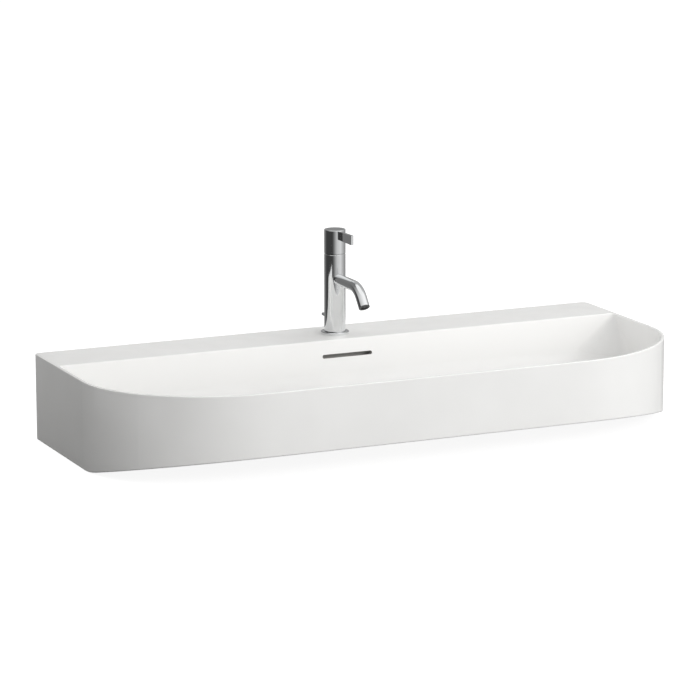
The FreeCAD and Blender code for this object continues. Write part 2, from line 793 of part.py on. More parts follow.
def spout_parts():
    """Spout tube and the aerator screwed into its tip."""
    path, tip, along = spout_path()
    inward = along * -1
    depth = aerator_length + aerator_seal_thickness
    tube = pipe(path, spout_radius).cut(pipe(path, spout_bore))
    tube = tube.cut(Part.makeCylinder(aerator_radius, depth, tip, inward))
    outer = aerator_radius - thread_clearance
    face = tip + along * aerator_collar
    shell = Part.makeCylinder(outer, aerator_length, tip, inward)
    shell = shell.fuse(Part.makeCylinder(spout_radius, aerator_collar, tip, along))
    shell = shell.cut(Part.makeCylinder(aerator_bore, aerator_collar + aerator_length, face, inward))
    start = face + inward * aerator_insert_depth
    insert = Part.makeCylinder(aerator_bore - fit_clearance, aerator_insert_thickness, start, inward)
    across = V(1, 0, 0)
    upward = along.cross(across)
    holes = [Part.makeCylinder(aerator_hole_radius, aerator_insert_thickness, start, inward)]
    for circle in range(1, aerator_rings + 1):
        for step in range(6 * circle):
            turn = 2 * math.pi * step / (6 * circle)
            out = circle * aerator_hole_pitch
            spot = start + across * (out * math.cos(turn)) + upward * (out * math.sin(turn))
            holes.append(Part.makeCylinder(aerator_hole_radius, aerator_insert_thickness, spot, inward))
    seal_face = tip + inward * aerator_length
    seal = Part.makeCylinder(outer, aerator_seal_thickness, seal_face, inward)
    seal = seal.cut(Part.makeCylinder(aerator_seal_bore, aerator_seal_thickness, seal_face, inward))
    return {
        "spout_tube": tube,
        "aerator_shell": shell,
        "aerator_insert": insert.cut(Part.makeCompound(holes)),
        "aerator_seal": seal,
    }


def port_holes(low, high, radius):
    """The two inlets and the mixed outlet through a cartridge layer."""
    holes = [cylinder(radius, low, high, 0, tap_y - mixed_offset)]
    for side in (-1, 1):
        holes.append(cylinder(radius, low, high, side * tail_pipe_offset, tap_y))
    return Part.makeCompound(holes)


def cartridge_parts():
    """Ceramic-disc cartridge and its retaining nut."""
    gasket_top = chamber_floor + cartridge_gasket_thickness
    fixed_top = gasket_top + fixed_disc_thickness
    moving_top = fixed_top + moving_disc_thickness
    plate_top = moving_top + spindle_plate_thickness
    roof = plate_top + spindle_plate_gap
    nut_low = body_top_z - cartridge_nut_height
    outer = chamber_radius - chamber_clearance
    inner = outer - cartridge_wall
    gasket = cylinder(inner, chamber_floor, gasket_top, 0, tap_y)
    gasket = gasket.cut(port_holes(chamber_floor, gasket_top, gasket_port_radius))
    disc = cylinder(inner - fit_clearance, gasket_top, fixed_top, 0, tap_y)
    disc = disc.cut(port_holes(gasket_top, fixed_top, disc_port_radius))
    housing = cylinder(outer, chamber_floor, nut_low, 0, tap_y)
    housing = housing.fuse(cylinder(cartridge_neck_radius, nut_low, body_top_z, 0, tap_y))
    housing = housing.cut(cylinder(inner + fit_clearance, chamber_floor - overcut, roof, 0, tap_y))
    spindle_bore = spindle_radius + fit_clearance
    housing = housing.cut(cylinder(spindle_bore, roof - overcut, body_top_z + overcut, 0, tap_y))
    nut = ring(outer, cartridge_neck_radius + fit_clearance, nut_low, body_top_z, 0, tap_y)
    half = cartridge_nut_notch / 2
    notch_low = body_top_z - cartridge_notch_depth
    notch = box(-chamber_radius, chamber_radius, tap_y - half, tap_y + half, notch_low, body_top_z)
    moving = cylinder(inner - moving_disc_gap, fixed_top, moving_top, 0, tap_y)
    pocket_top = fixed_top + moving_disc_thickness / 2
    moving = moving.cut(cylinder(mixed_bore, fixed_top, pocket_top, 0, tap_y - mixed_offset / 2))
    shoulder = body_top_z + spindle_shoulder
    side = spindle_square / 2
    spindle = cylinder(inner - moving_disc_gap, moving_top, plate_top, 0, tap_y).fuse([
        cylinder(spindle_radius, plate_top, shoulder, 0, tap_y),
        box(-side, side, tap_y - side, tap_y + side, shoulder, shoulder + spindle_square_length),
    ])
    glide_bore = glide_ring_radius - glide_ring_width
    glide = ring(glide_ring_radius, glide_bore, body_top_z, cap_z - glide_gap, 0, tap_y)
    return {
        "cartridge_gasket": gasket,
        "cartridge_fixed_disc": disc,
        "cartridge_housing": housing,
        "cartridge_nut": nut.cut(notch),
        "cartridge_moving_disc": moving,
        "cartridge_spindle": spindle,
        "handle_glide_ring": glide,
    }


def blade_solid(grow):
    """Lever blade, taller towards its end, or with grow the slot it fits in."""
    side = blade_thickness / 2 + grow
    root_y = tap_y - tap_radius + blade_tongue + grow
    end_y = tap_y - blade_reach - grow
    root_high = cap_top_z - blade_drop
    root_low = root_high - blade_root_height
    end_low = cap_top_z - blade_end_height
    outline = Part.makePolygon([
        V(-side, root_y, root_low - grow), V(-side, end_y, end_low - grow),
        V(-side, end_y, cap_top_z + grow), V(-side, root_y, root_high + grow),
        V(-side, root_y, root_low - grow),
    ])
    return Part.Face(outline).extrude(V(2 * side, 0, 0))


def handle_parts():
    """Cap, lever blade and the grub screw that fixes them to the spindle."""
    roof = cap_top_z - cap_roof
    hub_low = cap_z + hub_clear
    cap = cylinder(tap_radius, cap_z, cap_top_z, 0, tap_y)
    cap = cap.makeFillet(cap_edge_radius, level_edges(cap, cap_top_z))
    cap = cap.makeChamfer(groove_chamfer, level_edges(cap, cap_z))
    cap = cap.cut(ring(tap_radius - cap_wall, hub_radius, hub_low, roof, 0, tap_y))
    cap = cap.cut(cylinder(tap_radius - cap_wall, cap_z - overcut, hub_low, 0, tap_y))
    half = spindle_square / 2 + fit_clearance
    socket_top = body_top_z + spindle_shoulder + spindle_square_length + spindle_end_gap
    cap = cap.cut(box(-half, half, tap_y - half, tap_y + half, hub_low - overcut, socket_top))
    grub_z = cap_top_z - grub_drop
    grub_near = tap_y + half
    cap = cap.cut(lying_cylinder(grub_radius + thread_clearance, tap_y, tap_y + 2 * tap_radius, grub_z))
    grub = lying_cylinder(grub_radius, grub_near, grub_near + grub_length, grub_z)
    key = hexagon(grub_key_flats, 0, grub_key_depth + overcut)
    key.rotate(V(0, 0, 0), V(1, 0, 0), -90)
    key.translate(V(0, grub_near + grub_length - grub_key_depth, grub_z))
    cap = cap.cut(blade_solid(fit_clearance))
    blade = blade_solid(0.0)
    ends = []
    for edge in blade.Edges:
        if edge.BoundBox.YMax < tap_y - blade_reach + 1e-4 and edge.BoundBox.ZLength > blade_root_height:
            ends.append(edge)
    blade = blade.makeFillet(blade_edge_radius, ends)
    return {"handle_cap": cap, "lever_blade": blade, "handle_grub_screw": grub.cut(key)}


def pull_parts():
    """Pop-up pin, pull rod, clamp, strap and screw."""
    head_low = pin_z - pull_head_height / 2
    head_high = pin_z + pull_head_height / 2
    rod = cylinder(pull_rod_radius, pull_low, head_low, 0, pull_y)
    rod = rod.fuse(cylinder(pull_head_radius, head_low, head_high, 0, pull_y))
    pin_near = pull_y + pull_head_radius + fit_clearance
    pin_far = tap_y + pin_reach
    stub_bore = pin_stub_radius + thread_clearance
    rod = rod.cut(lying_cylinder(stub_bore, pull_y - pull_head_radius, pin_near, pin_z))
    pin = lying_cylinder(pin_radius, pin_near, pin_far, pin_z)
    ends = []
    for edge in pin.Edges:
        if edge.BoundBox.YMin > pin_far - 1e-4:
            ends.append(edge)
    pin = pin.makeFillet(pin_end_radius, ends)
    pin = pin.fuse(lying_cylinder(pin_stub_radius, pull_y - pin_stub_radius, pin_near, pin_z))
    half = clamp_width / 2
    clamp_front = pull_y - pull_rod_radius - clamp_front_wall
    clamp_high = clamp_low + clamp_height
    clamp = box(-half, half, clamp_front, clamp_rear_y, clamp_low, clamp_high)
    clamp = clamp.cut(cylinder(pull_rod_radius + fit_clearance, clamp_low, clamp_high, 0, pull_y))
    screw_z = clamp_low + clamp_height / 2
    screw_near = pull_y + pull_rod_radius + fit_clearance
    screw_bore = strap_screw_radius + thread_clearance
    clamp = clamp.cut(lying_cylinder(screw_bore, pull_y, clamp_rear_y, screw_z))
    strap_rear = clamp_rear_y + strap_thickness
    strap = box(-half, half, clamp_rear_y, strap_rear, pivot_z - strap_foot, clamp_high)
    strap = strap.cut(lying_cylinder(screw_bore, clamp_rear_y, strap_rear, screw_z))
    hole = pivot_rod_radius + strap_hole_clearance
    for step in range(strap_spare_holes + 1):
        height = pivot_z + step * strap_hole_pitch
        strap = strap.cut(lying_cylinder(hole, clamp_rear_y, strap_rear, height))
    head_end = strap_rear + strap_screw_head_height
    screw = lying_cylinder(strap_screw_radius, screw_near, strap_rear, screw_z)
    screw = screw.fuse(lying_cylinder(strap_screw_head_radius, strap_rear, head_end, screw_z))
    return {
        "popup_pin": pin,
        "pull_rod": rod,
        "strap_clamp": clamp,
        "link_strap": strap,
        "strap_screw": screw,
    }


parts = {"basin_body": basin_body(), "waste_body": waste_body()}
parts.update(waste_rings())
parts.update(pivot_port())
parts.update(pivot_lever())
parts.update(plug_parts())
parts["tap_body"] = tap_body()
parts.update(tap_base())
parts["hot_supply_tail"] = supply_tail(-1)
parts["cold_supply_tail"] = supply_tail(1)
parts["supply_tail_seals"] = supply_seals()
parts.update(spout_parts())
parts.update(cartridge_parts())
parts.update(handle_parts())
parts.update(pull_parts())

os.makedirs("parts", exist_ok=True)
for name, shape in parts.items():
    print(name, "valid" if shape.isValid() else "NOT VALID", len(shape.Solids), round(shape.Volume, 1))
    shape.exportStep("parts/" + name + ".step")
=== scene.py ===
import json
import math

import bmesh
import bpy
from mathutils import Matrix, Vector


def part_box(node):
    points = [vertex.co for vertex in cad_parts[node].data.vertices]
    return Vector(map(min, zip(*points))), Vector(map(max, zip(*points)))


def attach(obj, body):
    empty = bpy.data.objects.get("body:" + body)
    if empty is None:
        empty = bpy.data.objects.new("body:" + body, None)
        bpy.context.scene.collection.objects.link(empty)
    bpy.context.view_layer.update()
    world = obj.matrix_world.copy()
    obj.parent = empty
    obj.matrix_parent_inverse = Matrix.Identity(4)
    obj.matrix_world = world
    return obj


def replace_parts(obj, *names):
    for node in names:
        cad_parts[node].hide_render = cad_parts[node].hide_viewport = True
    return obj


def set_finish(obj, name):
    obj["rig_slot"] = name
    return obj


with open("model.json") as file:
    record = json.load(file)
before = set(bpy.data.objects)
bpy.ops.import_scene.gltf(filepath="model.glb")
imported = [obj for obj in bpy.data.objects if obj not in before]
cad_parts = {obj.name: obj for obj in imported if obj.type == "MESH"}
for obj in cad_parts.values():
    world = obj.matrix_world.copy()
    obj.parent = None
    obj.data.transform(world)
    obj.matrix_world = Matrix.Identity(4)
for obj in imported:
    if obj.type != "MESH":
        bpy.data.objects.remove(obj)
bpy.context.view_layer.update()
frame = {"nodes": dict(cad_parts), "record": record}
nodes = frame["nodes"]
basin_low, basin_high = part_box("basin_body")

# Camera, solved from the basin's straight edges in the photograph
camera_lens = 166.26
camera_sensor = 36.0
camera_azimuth = -24.654
camera_elevation = 12.214
camera_distance = 5.1495
camera_target = Vector((-0.0416, 0.0, 0.1449))

# Floor, sky and lights
white = (1.0, 1.0, 1.0, 1.0)
black = (0.0, 0.0, 0.0, 1.0)
floor_size = 40.0
floor_drop = 0.0004
floor_grey = (0.3, 0.3, 0.3, 1.0)
floor_glow = 0.9
world_low = 0.9
world_high = 0.22
light_aim = Vector((0.05, 0.0, 0.1))

# Dark card beside the basin's left end
dark_card_gap = 0.4
dark_card_width = 0.7
dark_card_height = 0.26
dark_card_colour = (0.03, 0.03, 0.03, 1.0)

# Wall round the tap that only polished surfaces see. Its tones are pairs of degrees from the front and grey.
wall_radius = 0.85
wall_height = 1.8
wall_steps = 96
wall_blend_heights = (0.46, 0.6)
wall_low_tones = (
    (-180, 0.25), (-140, 0.15), (-125, 0.05), (-50, 0.05), (-35, 0.15),
    (0, 0.6), (40, 0.75), (75, 0.45), (110, 0.3), (175, 0.25),
)
wall_high_tones = (
    (-180, 0.45), (-165, 0.2), (-130, 0.2), (-100, 0.5), (-60, 0.75),
    (0, 1.0), (65, 1.1), (90, 0.6), (115, 0.45), (175, 0.5),
)

# Bowed cards just inside that wall
card_inset = 0.005
card_steps = 24

# Threads, knurling and grip ribs, in metres
stud_pitch = 0.00125
screw_pitch = 0.0007
screw_shank = 0.002
screw_head_height = 0.004
thread_share = 0.6
thread_flat = 0.125
rings_per_turn = 10
steps_around = 36
knurl_count = 30
knurl_depth = 0.00025
rib_count = 18
rib_radius = 0.0005
rib_inset = 0.001
rib_steps = 6
sharp_edge = math.radians(35)

# Noise, whose scales are features per metre, and the shares of its range that patches and grains use
patch_range = (0.35, 0.65)
grain_range = (0.3, 0.7)
fine_detail = 3.0

# Glaze
glaze_light = (0.9, 0.897, 0.883, 1.0)
glaze_deep = (0.877, 0.874, 0.86, 1.0)
glaze_cloud_scale = 9.0
glaze_polish_scale = 34.0
glaze_roughness = (0.12, 0.2)
glaze_ior = 1.4
ripple_scale = 70.0
ripple_detail = 1.0
ripple_strength = 0.05
ripple_depth = 0.0006
# Painted shade: the glaze inside the bowl is painted darker than outside, to stand in for less light there.
bowl_glaze_painted_shade = (0.842, 0.839, 0.827, 1.0)
bowl_middle_y = -0.05
bowl_fade = (0.02, 0.2)

# Clay that the glaze leaves bare
clay_light = (0.78, 0.735, 0.665, 1.0)
clay_deep = (0.72, 0.67, 0.6, 1.0)
clay_roughness = 0.82
clay_grain_scale = 1400.0
clay_grit_strength = 0.35
clay_grit_depth = 0.0004
glaze_edge_depth = 0.0011
glaze_edge_waver = 0.0008
glaze_edge_scale = 120.0
ceiling_facing = -0.995

# Overflow way, behind the bowl's rear face, which stands at overflow_mouth at the foot and leans back
# Painted shade: the overflow way's bare clay is painted dark grey, standing in for the shade in that recess.
overflow_clay_painted_shade = (0.42, 0.41, 0.395, 1.0)
overflow_mouth = 0.0913
bowl_back_lean = 0.0897
overflow_margin = 0.0104
overflow_rear_margin = 0.002

# Metals and mouldings
metal_patch_scale = 60.0
metal_relief = 0.2
mark_raggedness = 0.6
spangle_scale = 240.0
spangle_reach = 0.6
zinc_light = (0.6, 0.61, 0.62, 1.0)
zinc_deep = (0.5, 0.515, 0.53, 1.0)
zinc_brush_scale = 700.0
zinc_roughness = (0.24, 0.42)
zinc_brush_depth = 0.00003
moulded_patch_scale = 90.0
moulded_relief = 0.3

# What a Mix node calls its sockets for each type of data
mix_kinds = {"RGBA": "Color", "FLOAT": "Float"}


def new_material(name):
    """An empty node material with its tree and shader."""
    material = bpy.data.materials.new(name)
    material.use_nodes = True
    tree = material.node_tree
    return material, tree, tree.nodes["Principled BSDF"]


def set_inputs(node, **inputs):
    """Set some of a node's inputs, by name."""
    for name, value in inputs.items():
        node.inputs[name.replace("_", " ")].default_value = value


def plain_material(name, **inputs):
    """A material for the studio's cards, with constants set by the names of its shader's inputs."""
    material, _, shader = new_material(name)
    set_inputs(shader, **inputs)
    return material


def feed(tree, socket, value):
    """Give a socket a constant, or link it to another socket."""
    if isinstance(value, bpy.types.NodeSocket):
        tree.links.new(value, socket)
    else:
        socket.default_value = value


def place_in_object(tree):
    """The point on the piece, in metres."""
    return tree.nodes.new("ShaderNodeTexCoord").outputs["Object"]


def split(tree, vector):
    """The X, Y and Z of a vector."""
    node = tree.nodes.new("ShaderNodeSeparateXYZ")
    tree.links.new(vector, node.inputs["Vector"])
    return node.outputs


def stretched(tree, vector, scale):
    """A point scaled by axis."""
    node = tree.nodes.new("ShaderNodeMapping")
    set_inputs(node, Scale=scale)
    tree.links.new(vector, node.inputs["Vector"])
    return node.outputs["Vector"]


def noise(tree, vector, scale, detail=2.0, raggedness=0.5):
    """Noise with a size given in features per metre."""
    node = tree.nodes.new("ShaderNodeTexNoise")
    set_inputs(node, Scale=scale, Detail=detail, Roughness=raggedness)
    tree.links.new(vector, node.inputs["Vector"])
    return node.outputs["Fac"]


def remap(tree, value, low, high, out_low, out_high):
    """A value moved from one range to another, kept inside it."""
    node = tree.nodes.new("ShaderNodeMapRange")
    set_inputs(node, From_Min=low, From_Max=high, To_Min=out_low, To_Max=out_high)
    tree.links.new(value, node.inputs["Value"])
    return node.outputs["Result"]


def patches(tree, value):
    """Noise sharpened into soft patches, from nought to one."""
    return remap(tree, value, *patch_range, 0.0, 1.0)


def spread(tree, value, low, high):
    """Noise spread over a range."""
    return remap(tree, value, *grain_range, low, high)


def mix_socket(sockets, identifier):
    """One of a Mix node's sockets, which share their names between types of data."""
    return next(socket for socket in sockets if socket.identifier == identifier)


def blend(tree, data_type, factor, first, second):
    """A value between two, by a factor. Each is a constant or a socket."""
    node = tree.nodes.new("ShaderNodeMix")
    node.data_type = data_type
    kind = mix_kinds[data_type]
    tree.links.new(factor, node.inputs["Factor"])
    feed(tree, mix_socket(node.inputs, f"A_{kind}"), first)
    feed(tree, mix_socket(node.inputs, f"B_{kind}"), second)
    return mix_socket(node.outputs, f"Result_{kind}")


def blend_colours(tree, factor, first, second):
    """A colour between two, by a factor."""
    return blend(tree, "RGBA", factor, first, second)


def blend_values(tree, factor, first, second):
    """A number between two, by a factor."""
    return blend(tree, "FLOAT", factor, first, second)


def calculate(tree, operation, first, second):
    """One step of arithmetic on numbers or sockets."""
    node = tree.nodes.new("ShaderNodeMath")
    node.operation = operation
    for socket, value in zip(node.inputs, (first, second)):
        feed(tree, socket, value)
    return node.outputs["Value"]


def vector_step(tree, operation, *values):
    """One step of arithmetic on vectors or sockets."""
    node = tree.nodes.new("ShaderNodeVectorMath")
    node.operation = operation
    for socket, value in zip(node.inputs, values):
        feed(tree, socket, value)
    return node.outputs


def relief(tree, height, strength, depth, under=None):
    """Bump from a height, laid over another bump if there is one."""
    node = tree.nodes.new("ShaderNodeBump")
    set_inputs(node, Strength=strength, Distance=depth)
    tree.links.new(height, node.inputs["Height"])
    if under is not None:
        tree.links.new(under, node.inputs["Normal"])
    return node.outputs["Normal"]


def facing_middle(tree):
    """One inside the bowl, where the surface faces the bowl's middle, falling to nought at its rim. It marks
    where the glaze is painted darker, as painted shade.
    """
    geometry = tree.nodes.new("ShaderNodeNewGeometry")
    bowl_middle = Vector((0.0, bowl_middle_y, basin_high.z))
    inward = vector_step(tree, "SUBTRACT", bowl_middle, geometry.outputs["Position"])["Vector"]
    straight = vector_step(tree, "NORMALIZE", inward)["Vector"]
    facing = vector_step(tree, "DOT_PRODUCT", straight, geometry.outputs["Normal"])["Value"]
    return remap(tree, facing, *bowl_fade, 0.0, 1.0)


def opening_box(name):
    """The lowest and highest corners of one of the record's openings."""
    openings = frame["record"]["physics"]["openings"]
    return next(row["box_m"] for row in openings if row["name"] == name)


def inside_overflow(tree, place):
    """One in the overflow way behind its slot, else nought. The clay there is painted dark grey, as painted
    shade in the recess.
    """
    low, high = opening_box("overflow_slot")
    lean = calculate(tree, "MULTIPLY", place["Z"], bowl_back_lean)
    behind_face = calculate(tree, "SUBTRACT", place["Y"], lean)
    inside = calculate(tree, "GREATER_THAN", behind_face, overflow_mouth)
    reach = {
        "X": (low[0] - overflow_margin, high[0] + overflow_margin),
        "Y": (low[1], high[1] + overflow_rear_margin),
        "Z": (low[2] - overflow_margin, high[2] + overflow_margin),
    }
    for axis, (least, most) in reach.items():
        above = calculate(tree, "GREATER_THAN", place[axis], least)
        below = calculate(tree, "LESS_THAN", place[axis], most)
        between = calculate(tree, "MULTIPLY", above, below)
        inside = calculate(tree, "MULTIPLY", between, inside)
    return inside


def unglazed(tree, point, overflow, place, facing):
    """One on the wall face, foot, hidden ceilings and overflow way, with a ragged edge, else nought."""
    ragged = noise(tree, point, glaze_edge_scale, fine_detail)
    waver = spread(tree, ragged, -glaze_edge_waver, glaze_edge_waver)
    rear_place = calculate(tree, "ADD", place["Y"], waver)
    foot_place = calculate(tree, "ADD", place["Z"], waver)
    rear = calculate(tree, "GREATER_THAN", rear_place, basin_high.y - glaze_edge_depth)
    foot = calculate(tree, "LESS_THAN", foot_place, basin_low.z + glaze_edge_depth)
    ceiling = calculate(tree, "LESS_THAN", facing["Z"], ceiling_facing)
    outer = calculate(tree, "MAXIMUM", rear, foot)
    inner = calculate(tree, "MAXIMUM", ceiling, overflow)
    return calculate(tree, "MAXIMUM", outer, inner)


def white_glaze():
    """Glossy white glaze with a soft ripple, over clay that shows where it is left bare. Inside the bowl the
    glaze is painted darker, and in the overflow way the clay is painted dark grey: both are painted shade.
    """
    material, tree, shader = new_material("white_glaze")
    point = place_in_object(tree)
    cloud = patches(tree, noise(tree, point, glaze_cloud_scale))
    outside = blend_colours(tree, cloud, glaze_deep, glaze_light)
    # Painted shade: glaze that faces the bowl's middle is painted darker.
    glaze = blend_colours(tree, facing_middle(tree), outside, bowl_glaze_painted_shade)
    polish = spread(tree, noise(tree, point, glaze_polish_scale, fine_detail), *glaze_roughness)
    geometry = tree.nodes.new("ShaderNodeNewGeometry")
    place = split(tree, geometry.outputs["Position"])
    facing = split(tree, geometry.outputs["True Normal"])
    overflow = inside_overflow(tree, place)
    bare = unglazed(tree, point, overflow, place, facing)
    grain = noise(tree, point, clay_grain_scale, fine_detail)
    pale_clay = blend_colours(tree, patches(tree, grain), clay_deep, clay_light)
    # Painted shade: clay in the overflow way is painted dark grey.
    clay = blend_colours(tree, overflow, pale_clay, overflow_clay_painted_shade)
    tree.links.new(blend_colours(tree, bare, glaze, clay), shader.inputs["Base Color"])
    tree.links.new(blend_values(tree, bare, polish, clay_roughness), shader.inputs["Roughness"])
    ripple = relief(tree, noise(tree, point, ripple_scale, ripple_detail), ripple_strength, ripple_depth)
    grit = calculate(tree, "MULTIPLY", grain, bare)
    surface = relief(tree, grit, clay_grit_strength, clay_grit_depth, ripple)
    tree.links.new(surface, shader.inputs["Normal"])
    set_inputs(shader, IOR=glaze_ior)
    return material


def metal(name, bright, dull, roughness, mark_scale, mark_stretch, mark_depth):
    """A metal with patchy colour, fine tool marks and uneven polish."""
    material, tree, shader = new_material(name)
    point = place_in_object(tree)
    patch = patches(tree, noise(tree, point, metal_patch_scale, fine_detail))
    tree.links.new(blend_colours(tree, patch, dull, bright), shader.inputs["Base Color"])
    marks = noise(tree, stretched(tree, point, mark_stretch), mark_scale, fine_detail, mark_raggedness)
    tree.links.new(spread(tree, marks, *roughness), shader.inputs["Roughness"])
    tree.links.new(relief(tree, marks, metal_relief, mark_depth), shader.inputs["Normal"])
    set_inputs(shader, Metallic=1.0)
    return material


def chrome_plate():
    """Bright chrome: nearly even, with faint wiped streaks in its polish."""
    return metal("chrome_plate", bright=(0.855, 0.865, 0.87, 1.0), dull=(0.835, 0.845, 0.851, 1.0),
                 roughness=(0.025, 0.06), mark_scale=260.0, mark_stretch=(1.0, 1.0, 0.12),
                 mark_depth=0.000004)


def bare_brass():
    """Turned brass with ring marks."""
    return metal("bare_brass", bright=(0.76, 0.57, 0.29, 1.0), dull=(0.66, 0.47, 0.22, 1.0),
                 roughness=(0.2, 0.38), mark_scale=520.0, mark_stretch=(0.1, 0.1, 3.0),
                 mark_depth=0.00004)


def copper_pipe():
    """Drawn copper, stained in patches."""
    return metal("copper_pipe", bright=(0.83, 0.47, 0.33, 1.0), dull=(0.58, 0.3, 0.19, 1.0),
                 roughness=(0.2, 0.4), mark_scale=380.0, mark_stretch=(2.0, 2.0, 0.08),
                 mark_depth=0.00003)


def zinc_steel():
    """Zinc-plated steel with a cloudy spangle."""
    material, tree, shader = new_material("zinc_steel")
    point = place_in_object(tree)
    cells = tree.nodes.new("ShaderNodeTexVoronoi")
    set_inputs(cells, Scale=spangle_scale)
    tree.links.new(point, cells.inputs["Vector"])
    spangle = remap(tree, cells.outputs["Distance"], 0.0, spangle_reach, 0.0, 1.0)
    tree.links.new(blend_colours(tree, spangle, zinc_light, zinc_deep), shader.inputs["Base Color"])
    brushed = noise(tree, point, zinc_brush_scale, fine_detail)
    tree.links.new(spread(tree, brushed, *zinc_roughness), shader.inputs["Roughness"])
    tree.links.new(relief(tree, brushed, metal_relief, zinc_brush_depth), shader.inputs["Normal"])
    set_inputs(shader, Metallic=1.0)
    return material


def moulded(name, colour, pale, roughness, grain_scale, grain_depth):
    """Rubber, plastic or fired disc with a fine surface grain."""
    material, tree, shader = new_material(name)
    point = place_in_object(tree)
    patch = patches(tree, noise(tree, point, moulded_patch_scale, fine_detail))
    tree.links.new(blend_colours(tree, patch, colour, pale), shader.inputs["Base Color"])
    grain = noise(tree, point, grain_scale, fine_detail)
    tree.links.new(spread(tree, grain, *roughness), shader.inputs["Roughness"])
    tree.links.new(relief(tree, grain, moulded_relief, grain_depth), shader.inputs["Normal"])
    return material


def black_rubber():
    """Dull rubber of the gaskets and seals."""
    return moulded("black_rubber", colour=(0.02, 0.02, 0.021, 1.0), pale=(0.033, 0.033, 0.034, 1.0),
                   roughness=(0.62, 0.8), grain_scale=900.0, grain_depth=0.0001)


def black_plastic():
    """Satin black moulding."""
    return moulded("black_plastic", colour=(0.026, 0.026, 0.028, 1.0), pale=(0.036, 0.036, 0.038, 1.0),
                   roughness=(0.34, 0.5), grain_scale=1500.0, grain_depth=0.00005)


def white_plastic():
    """Satin white moulding."""
    return moulded("white_plastic", colour=(0.78, 0.775, 0.75, 1.0), pale=(0.81, 0.805, 0.785, 1.0),
                   roughness=(0.3, 0.45), grain_scale=1500.0, grain_depth=0.00004)


def disc_ceramic():
    """Lapped ceramic of the cartridge's discs."""
    return moulded("disc_ceramic", colour=(0.82, 0.78, 0.72, 1.0), pale=(0.86, 0.83, 0.78, 1.0),
                   roughness=(0.12, 0.22), grain_scale=2000.0, grain_depth=0.00002)


def dress_nodes():
    """Give every node the material of its slot in the record."""
    makers = (white_glaze, chrome_plate, bare_brass, copper_pipe, zinc_steel,
              black_rubber, black_plastic, white_plastic, disc_ceramic)
    materials = {maker.__name__: maker() for maker in makers}
    for row in frame["record"]["subparts"]:
        piece = nodes[row["node"]]
        piece.data.materials.clear()
        piece.data.materials.append(materials[row["material_slot"]])
        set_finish(piece, row["material_slot"])


def finished(name, mesh_data, node, body):
    """A new piece with its node's material, riding on the node's body."""
    mesh = bpy.data.meshes.new(name)
    bmesh.ops.recalc_face_normals(mesh_data, faces=mesh_data.faces)
    mesh_data.to_mesh(mesh)
    mesh_data.free()
    mesh.materials.append(nodes[node].data.materials[0])
    mesh.set_sharp_from_angle(angle=sharp_edge)
    piece = bpy.data.objects.new(name, mesh)
    bpy.context.scene.collection.objects.link(piece)
    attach(piece, body)
    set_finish(piece, nodes[node]["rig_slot"])
    return piece


def ringed_solid(start, along, distances, radius_at):
    """A solid of rings about an axis. The radius may vary with the turn and with the distance."""
    mesh_data = bmesh.new()
    aside = along.orthogonal().normalized()
    over = along.cross(aside)
    rings = []
    for distance in distances:
        ring = []
        for step in range(steps_around):
            turn = 2 * math.pi * step / steps_around
            outward = aside * math.cos(turn) + over * math.sin(turn)
            ring.append(mesh_data.verts.new(start + along * distance + outward * radius_at(turn, distance)))
        rings.append(ring)
    for ring, further in zip(rings, rings[1:]):
        for step in range(steps_around):
            after = (step + 1) % steps_around
            mesh_data.faces.new((ring[step], ring[after], further[after], further[step]))
    mesh_data.faces.new(rings[0])
    mesh_data.faces.new(rings[-1])
    return mesh_data


def thread_radius(crest, pitch, turn, distance):
    """The radius of a screw thread with flattened crests and roots."""
    phase = (distance / pitch - turn / (2 * math.pi)) % 1
    flank = abs(2 * phase - 1) * (1 + 2 * thread_flat) - thread_flat
    climb = min(max(flank, 0), 1)
    return crest - thread_share * pitch * (1 - climb)


def make_stud():
    """The tap's fixing stud, threaded over its whole length, with chamfered ends."""
    low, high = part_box("tap_stud")
    crest = (high.x - low.x) / 2
    length = high.z - low.z
    chamfer = thread_share * stud_pitch

    def radius_at(turn, distance):
        from_end = min(distance, length - distance)
        return min(thread_radius(crest, stud_pitch, turn, distance), crest - max(chamfer - from_end, 0))

    count = round(length / stud_pitch * rings_per_turn)
    distances = [length * step / count for step in range(count + 1)]
    start = Vector(((low.x + high.x) / 2, (low.y + high.y) / 2, low.z))
    solid = ringed_solid(start, Vector((0, 0, 1)), distances, radius_at)
    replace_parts(finished("tap_stud_threaded", solid, "tap_stud", "root"), "tap_stud")


def make_strap_screw():
    """The thumb screw on the link strap, with a thread and a knurled head."""
    low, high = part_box("strap_screw")
    head = (high.x - low.x) / 2
    length = high.y - low.y
    shank_end = length - screw_head_height

    def radius_at(turn, distance):
        if distance < shank_end:
            return thread_radius(screw_shank, screw_pitch, turn, distance)
        from_end = min(distance - shank_end, length - distance)
        knurl = knurl_depth * (1 + math.cos(knurl_count * turn)) / 2
        return head - knurl - max(knurl_depth - from_end, 0)

    count = round(shank_end / screw_pitch * rings_per_turn)
    distances = [shank_end * step / count for step in range(count)]
    distances += [shank_end, shank_end + knurl_depth, length - knurl_depth, length]
    start = Vector(((low.x + high.x) / 2, low.y, (low.z + high.z) / 2))
    solid = ringed_solid(start, Vector((0, 1, 0)), distances, radius_at)
    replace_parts(finished("strap_screw_knurled", solid, "strap_screw", "pull"), "strap_screw")


def rib_end(mesh_data, foot, across, outward):
    """The half-round end of one grip rib."""
    arc = []
    for step in range(rib_steps + 1):
        swing = math.pi * step / rib_steps
        bulge = across * math.cos(swing) + outward * math.sin(swing)
        arc.append(mesh_data.verts.new(foot + bulge * rib_radius))
    return arc


